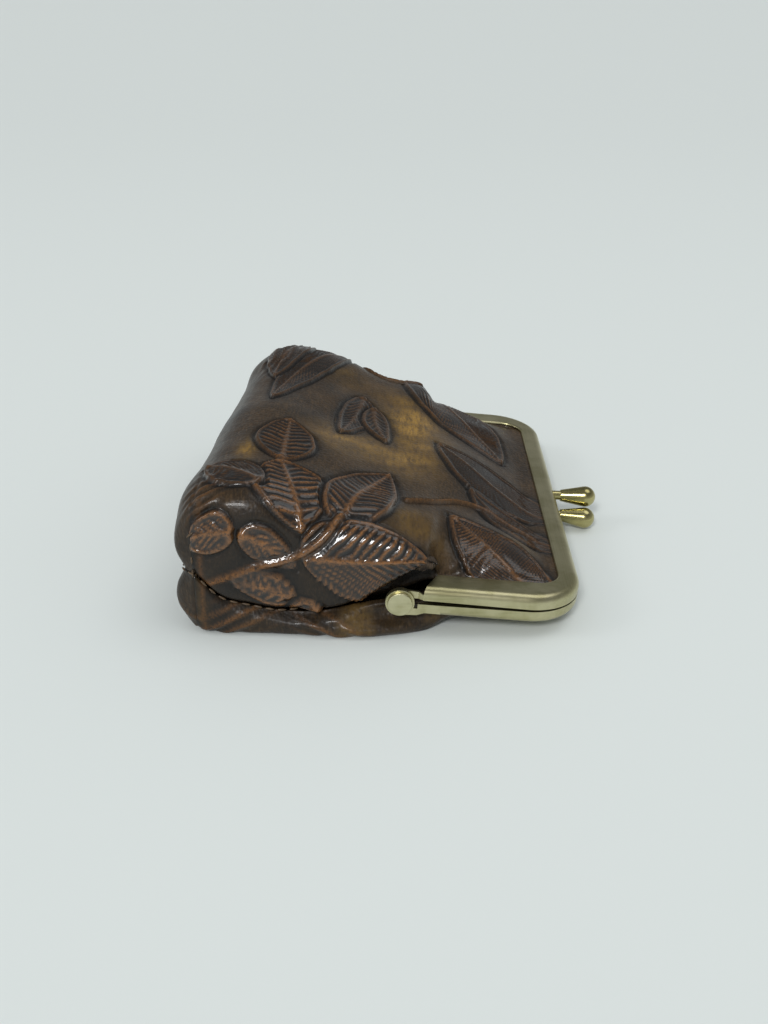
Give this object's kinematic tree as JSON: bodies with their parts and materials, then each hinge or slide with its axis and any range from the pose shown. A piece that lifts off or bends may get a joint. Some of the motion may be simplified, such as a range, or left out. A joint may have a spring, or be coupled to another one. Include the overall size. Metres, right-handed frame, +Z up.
{
  "type": "coin purse",
  "caption": "Small leather coin purse with a boxed base and a hinged brass kiss-lock frame closed by a pair of ball knobs; it lies on its back.",
  "frame": {"origin": "on the surface that the purse lies on, under the middle of its bounding box", "axes": "+X from the base of the pouch towards the clasp, +Y along the frame's hinge axis, +Z up from the back panel through the front panel"},
  "size_m": [0.0964, 0.1066, 0.033],
  "materials": {
    "antique_brass": "brushed antique brass, satin",
    "rivet_brass": "satin brass",
    "knob_brass": "polished antique brass with darkened stems",
    "embossed_leather": "leather embossed with foliage, antiqued dark brown over tan, glossy topcoat",
    "lining_cloth": "plain woven lining",
    "paper_cord": "twisted kraft paper",
    "sewing_thread": "waxed polyester thread"
  },
  "bodies": {
    "back_half": {"frame_back": "antique_brass", "hinge_rivet_left": "rivet_brass", "hinge_rivet_right": "rivet_brass", "clasp_knob_back": "knob_brass", "paper_cord_back": "paper_cord", "leather_front_pouch": "embossed_leather", "leather_front_fold": "embossed_leather", "leather_back": "embossed_leather", "lining_front_pouch": "lining_cloth", "lining_front_fold": "lining_cloth", "lining_back": "lining_cloth", "side_seam_left": "sewing_thread", "side_seam_right": "sewing_thread", "base_seam": "sewing_thread", "corner_seam_left": "sewing_thread", "corner_seam_right": "sewing_thread"},
    "front_half": {"frame_front": "antique_brass", "clasp_knob_front": "knob_brass", "paper_cord_front": "paper_cord", "leather_front_mouth": "embossed_leather", "lining_front_mouth": "lining_cloth"}
  },
  "joints": [
    {"name": "frame_hinge", "type": "hinge", "parent": "back_half", "child": "front_half", "pos_m": [-0.00172, 0, 0.009], "axis": [0, -1, 0], "range_deg": [0, 90], "deforming": ["leather_front_fold", "lining_front_fold"]}
  ]
}
